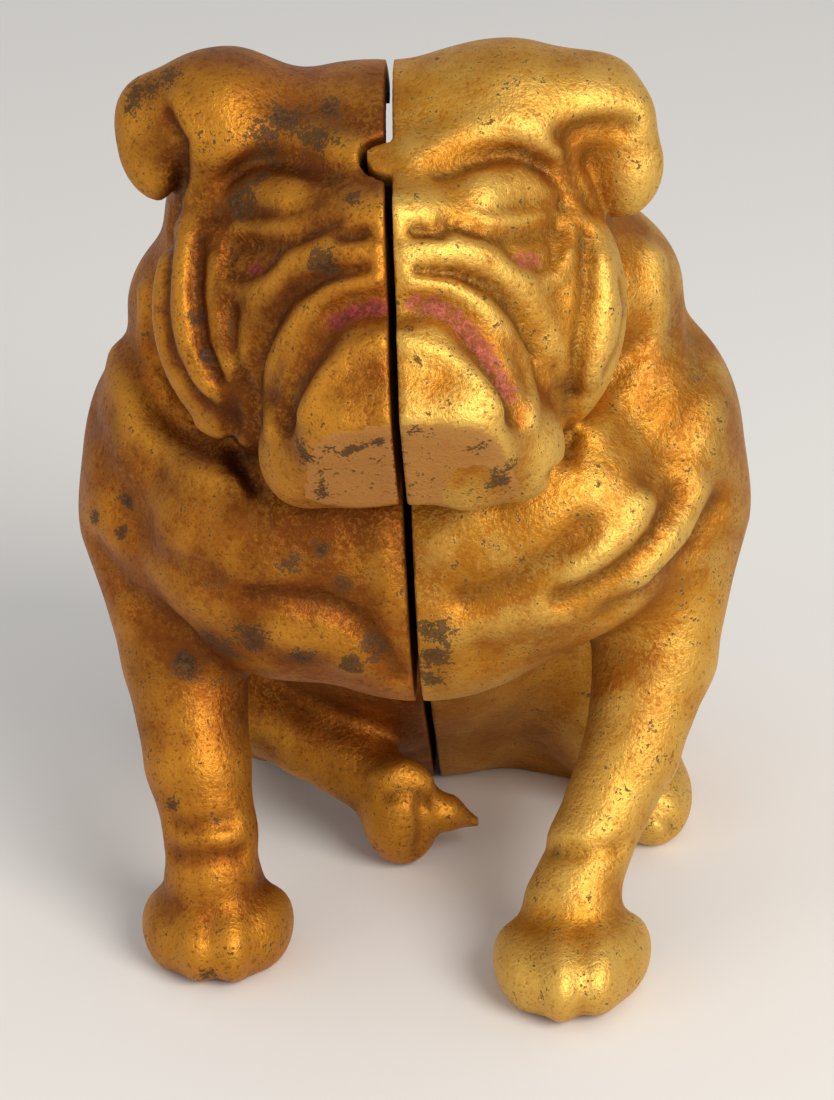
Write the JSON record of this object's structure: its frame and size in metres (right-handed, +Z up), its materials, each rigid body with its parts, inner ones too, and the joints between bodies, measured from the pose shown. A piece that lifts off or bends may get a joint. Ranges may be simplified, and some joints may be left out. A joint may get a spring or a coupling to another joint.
{
  "type": "figural still bank",
  "caption": "Seated bulldog coin bank: two hollow cast iron halves with a gold finish, joined down the middle by a long slotted screw, with a coin slot at the nape.",
  "frame": {"origin": "on the surface the bank stands on, under the middle of its bounding box", "axes": "+Z up, the dog looks along -Y, the dog's own left side is +X; the two castings meet in the plane X = 0"},
  "size_m": [0.073, 0.0826, 0.098],
  "materials": {
    "gold_on_left_casting": "bright gold bronze paint, rubbed and speckled",
    "gold_on_right_casting": "darkened gold bronze paint worn through to black iron",
    "screw_steel": "darkened steel with traces of gold paint"
  },
  "bodies": {
    "left_half": {"left_half_casting": "gold_on_left_casting"},
    "right_half": {"right_half_casting": "gold_on_right_casting"},
    "screw": {"assembly_screw": "screw_steel"}
  },
  "joints": [
    {"name": "halves_part", "type": "slide", "parent": "left_half", "child": "right_half", "axis": [-1, 0, 0], "range_m": [0, 0.0127]},
    {"name": "screw_turn", "type": "hinge", "parent": "left_half", "child": "screw", "pos_m": [0, 0.00537, 0.04], "axis": [1, 0, 0], "range_deg": [0, 5761]}
  ],
  "couplings": [
    {"joint": "screw_turn", "follows": "halves_part", "rad_per_m": 7915.8}
  ]
}
